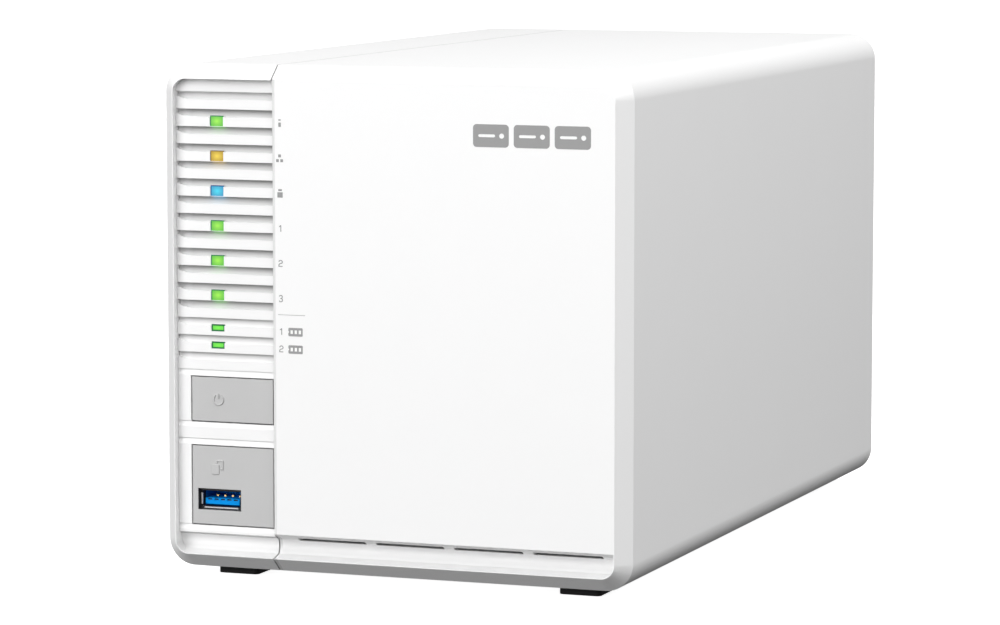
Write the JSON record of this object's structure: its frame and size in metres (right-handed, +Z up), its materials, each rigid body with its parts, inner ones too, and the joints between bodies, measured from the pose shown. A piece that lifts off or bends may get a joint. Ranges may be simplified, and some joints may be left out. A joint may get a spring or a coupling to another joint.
{
  "type": "network attached storage",
  "caption": "Desktop network storage box: slide-off white cover, slatted indicator strip, push buttons with a front socket, drive trays in a cage, boards, fan and rear ports.",
  "frame": {"origin": "on the surface the feet stand on, under the middle of the case", "axes": "+Z up, -Y towards the front panel, -X towards the indicator strip"},
  "size_m": [0.1464, 0.261, 0.1532],
  "materials": {
    "case_white": "fine matte white",
    "button_grey": "fine grained light grey",
    "foot_rubber": "matte black",
    "window_green": "lit translucent",
    "window_amber": "lit translucent",
    "window_blue": "lit translucent",
    "usb_steel": "bright folded sheet",
    "usb_blue": "moulded blue",
    "board_green": "solder resist",
    "chip_black": "moulded package",
    "light_chip": "clear cap",
    "cage_steel": "zinc plated sheet",
    "tray_black": "fine grained",
    "lever_grey": "fine grained",
    "pin_steel": "turned",
    "drive_metal": "cast and sheet",
    "sink_metal": "extruded",
    "socket_plastic": "moulded",
    "cell_steel": "polished",
    "panel_metal": "fine texture",
    "fan_plastic": "moulded",
    "screw_steel": "plated",
    "port_metal": "tinned"
  },
  "bodies": {
    "base": {"left_shell": "case_white", "louvre_frame": "case_white", "feet_left": "foot_rubber", "front_usb_shell": "usb_steel", "front_usb_tongue": "usb_blue", "led_board": "board_green", "front_leds": "light_chip", "front_switches": "chip_black", "window_status": "window_green", "window_network": "window_amber", "window_usb": "window_blue", "window_disk_1": "window_green", "window_disk_2": "window_green", "window_disk_3": "window_green", "window_stick_1": "window_green", "window_stick_2": "window_green", "cage_floor": "cage_steel", "cage_roof": "cage_steel", "cage_left_wall": "cage_steel", "cage_right_wall": "cage_steel", "backplane": "board_green", "drive_sockets": "socket_plastic", "main_board": "board_green", "standoffs": "screw_steel", "board_screws": "screw_steel", "processor": "chip_black", "heat_sink": "sink_metal", "memory_sockets": "socket_plastic", "memory_modules": "board_green", "stick_sockets": "socket_plastic", "solid_state_sticks": "board_green", "coin_cell": "cell_steel", "cell_holder": "socket_plastic", "rear_panel": "panel_metal", "fan_frame": "fan_plastic", "fan_screws": "screw_steel", "thumb_screws": "screw_steel", "lan_port": "port_metal", "rear_usb_ports": "port_metal", "hdmi_port": "port_metal", "power_jack": "socket_plastic"},
    "cover": {"slide_cover": "case_white", "feet_right": "foot_rubber"},
    "power_key": {"power_button": "button_grey"},
    "copy_key": {"copy_button": "button_grey"},
    "reset_key": {"reset_button": "tray_black"},
    "fan": {"fan_rotor": "fan_plastic"},
    "tray_1": {"tray_1": "tray_black", "lever_pin_1": "pin_steel", "drive_1": "drive_metal"},
    "lever_1": {"tray_lever_1": "lever_grey"},
    "tray_2": {"tray_2": "tray_black", "lever_pin_2": "pin_steel", "drive_2": "drive_metal"},
    "lever_2": {"tray_lever_2": "lever_grey"},
    "tray_3": {"tray_3": "tray_black", "lever_pin_3": "pin_steel", "drive_3": "drive_metal"},
    "lever_3": {"tray_lever_3": "lever_grey"}
  },
  "joints": [
    {"name": "cover_slide", "type": "slide", "parent": "base", "child": "cover", "axis": [0, -1, 0], "range_m": [0, 0.27]},
    {"name": "power_press", "type": "slide", "parent": "base", "child": "power_key", "axis": [0, 1, 0], "range_m": [0, 0.0008], "stiffness_N_per_m": 1500, "springref_m": -0.0004},
    {"name": "copy_press", "type": "slide", "parent": "base", "child": "copy_key", "axis": [0, 1, 0], "range_m": [0, 0.0008], "stiffness_N_per_m": 1500, "springref_m": -0.0004},
    {"name": "reset_press", "type": "slide", "parent": "base", "child": "reset_key", "axis": [0, -1, 0], "range_m": [0, 0.0006], "stiffness_N_per_m": 800, "springref_m": -0.0004},
    {"name": "fan_spin", "type": "hinge", "parent": "base", "child": "fan", "pos_m": [0.0162, 0.105, 0.0782], "axis": [0, 1, 0], "continuous": true},
    {"name": "tray_1_slide", "type": "slide", "parent": "base", "child": "tray_1", "axis": [0, -1, 0], "range_m": [0, 0.16]},
    {"name": "tray_1_lever", "type": "hinge", "parent": "tray_1", "child": "lever_1", "pos_m": [0.06, -0.1214, 0.034], "axis": [0, 0, 1], "range_deg": [0, 50]},
    {"name": "tray_2_slide", "type": "slide", "parent": "base", "child": "tray_2", "axis": [0, -1, 0], "range_m": [0, 0.16]},
    {"name": "tray_2_lever", "type": "hinge", "parent": "tray_2", "child": "lever_2", "pos_m": [0.06, -0.1214, 0.0765], "axis": [0, 0, 1], "range_deg": [0, 50]},
    {"name": "tray_3_slide", "type": "slide", "parent": "base", "child": "tray_3", "axis": [0, -1, 0], "range_m": [0, 0.16]},
    {"name": "tray_3_lever", "type": "hinge", "parent": "tray_3", "child": "lever_3", "pos_m": [0.06, -0.1214, 0.119], "axis": [0, 0, 1], "range_deg": [0, 50]}
  ],
  "couplings": [
    {"joint": "tray_1_slide", "follows": "cover_slide", "ratio": 0.59},
    {"joint": "tray_1_lever", "follows": "cover_slide", "rad_per_m": 3.2},
    {"joint": "tray_2_slide", "follows": "cover_slide", "ratio": 0.59},
    {"joint": "tray_2_lever", "follows": "cover_slide", "rad_per_m": 3.2},
    {"joint": "tray_3_slide", "follows": "cover_slide", "ratio": 0.59},
    {"joint": "tray_3_lever", "follows": "cover_slide", "rad_per_m": 3.2}
  ]
}
